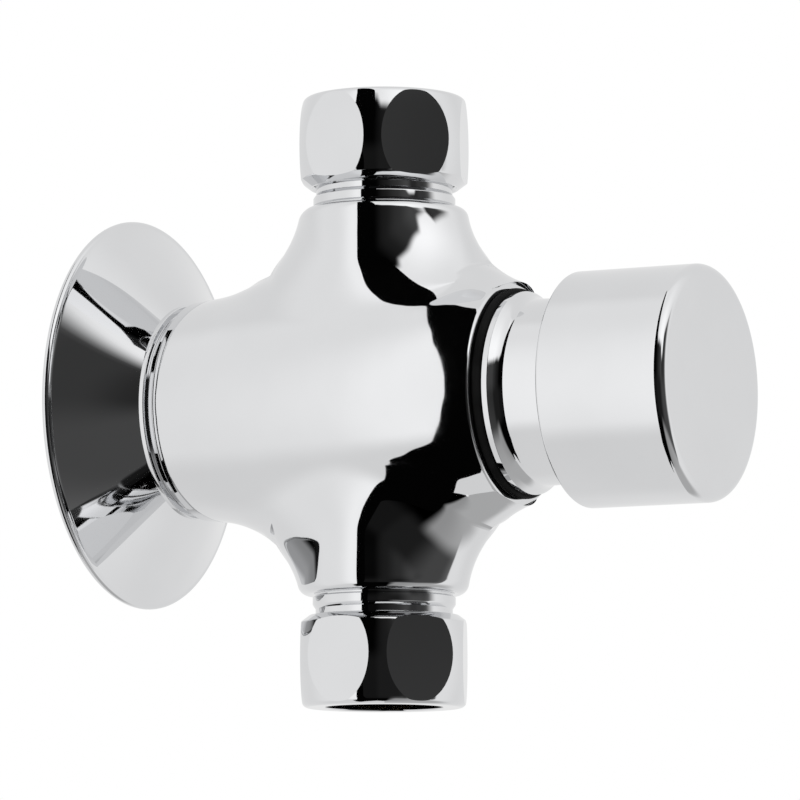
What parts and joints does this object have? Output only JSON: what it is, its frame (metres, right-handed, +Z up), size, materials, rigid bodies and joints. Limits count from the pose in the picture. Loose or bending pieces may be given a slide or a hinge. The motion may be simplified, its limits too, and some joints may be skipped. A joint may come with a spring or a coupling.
{
  "type": "timed shower valve",
  "caption": "Chrome self-closing shower valve: cross body with compression nuts above and below, trumpet wall flange behind and a large push button in front.",
  "frame": {"origin": "centre of the wall face, on the button's axis", "axes": "+Z up along the pipes, the button points to -Y, the wall is the plane y = 0 and +Y goes into it"},
  "size_m": [0.0748, 0.1209, 0.1156],
  "materials": {
    "chrome": "polished chrome plate",
    "brass": "turned",
    "stainless": "turned and bright",
    "zinc_steel": "zinc plated",
    "black_rubber": "smooth",
    "acetal": "moulded, off-white",
    "grey_plastic": "moulded, grey"
  },
  "bodies": {
    "valve": {"valve_body": "chrome", "inlet_olive": "brass", "outlet_olive": "brass", "inlet_filter": "stainless", "flow_regulator": "grey_plastic", "regulator_seal": "black_rubber", "wall_plate": "zinc_steel", "wall_stud": "zinc_steel", "stud_lock_nut": "zinc_steel", "rear_plug": "brass", "rear_plug_seal": "black_rubber", "body_seal": "black_rubber", "cartridge_housing": "chrome", "gland_bush": "brass", "spindle_seal": "black_rubber", "timing_pin": "stainless", "spring_retainer": "brass", "retaining_ring": "stainless", "return_spring": "stainless", "valve_seat": "stainless"},
    "plunger": {"spindle": "stainless", "piston": "acetal", "piston_seal": "black_rubber", "seat_washer": "black_rubber", "poppet": "brass", "spindle_nut": "stainless", "button_screw": "stainless"},
    "button": {"button_cap": "chrome", "button_insert": "acetal"},
    "flange": {"wall_flange": "chrome"},
    "lower_nut": {"inlet_nut": "chrome"},
    "upper_nut": {"outlet_nut": "chrome"}
  },
  "joints": [
    {"name": "button_press", "type": "slide", "parent": "valve", "child": "plunger", "axis": [0, 1, 0], "range_m": [0, 0.006], "stiffness_N_per_m": 1800, "springref_m": -0.009, "deforming": ["return_spring"]},
    {"name": "button_turn", "type": "hinge", "parent": "plunger", "child": "button", "pos_m": [0, -0.108, 0], "axis": [0, -1, 0], "continuous": true},
    {"name": "flange_turn", "type": "hinge", "parent": "valve", "child": "flange", "pos_m": [0, -0.006, 0], "axis": [0, -1, 0], "continuous": true},
    {"name": "inlet_nut_turn", "type": "hinge", "parent": "valve", "child": "lower_nut", "pos_m": [0, -0.053, -0.049], "axis": [0, 0, -1], "continuous": true},
    {"name": "outlet_nut_turn", "type": "hinge", "parent": "valve", "child": "upper_nut", "pos_m": [0, -0.053, 0.049], "axis": [0, 0, 1], "continuous": true}
  ]
}
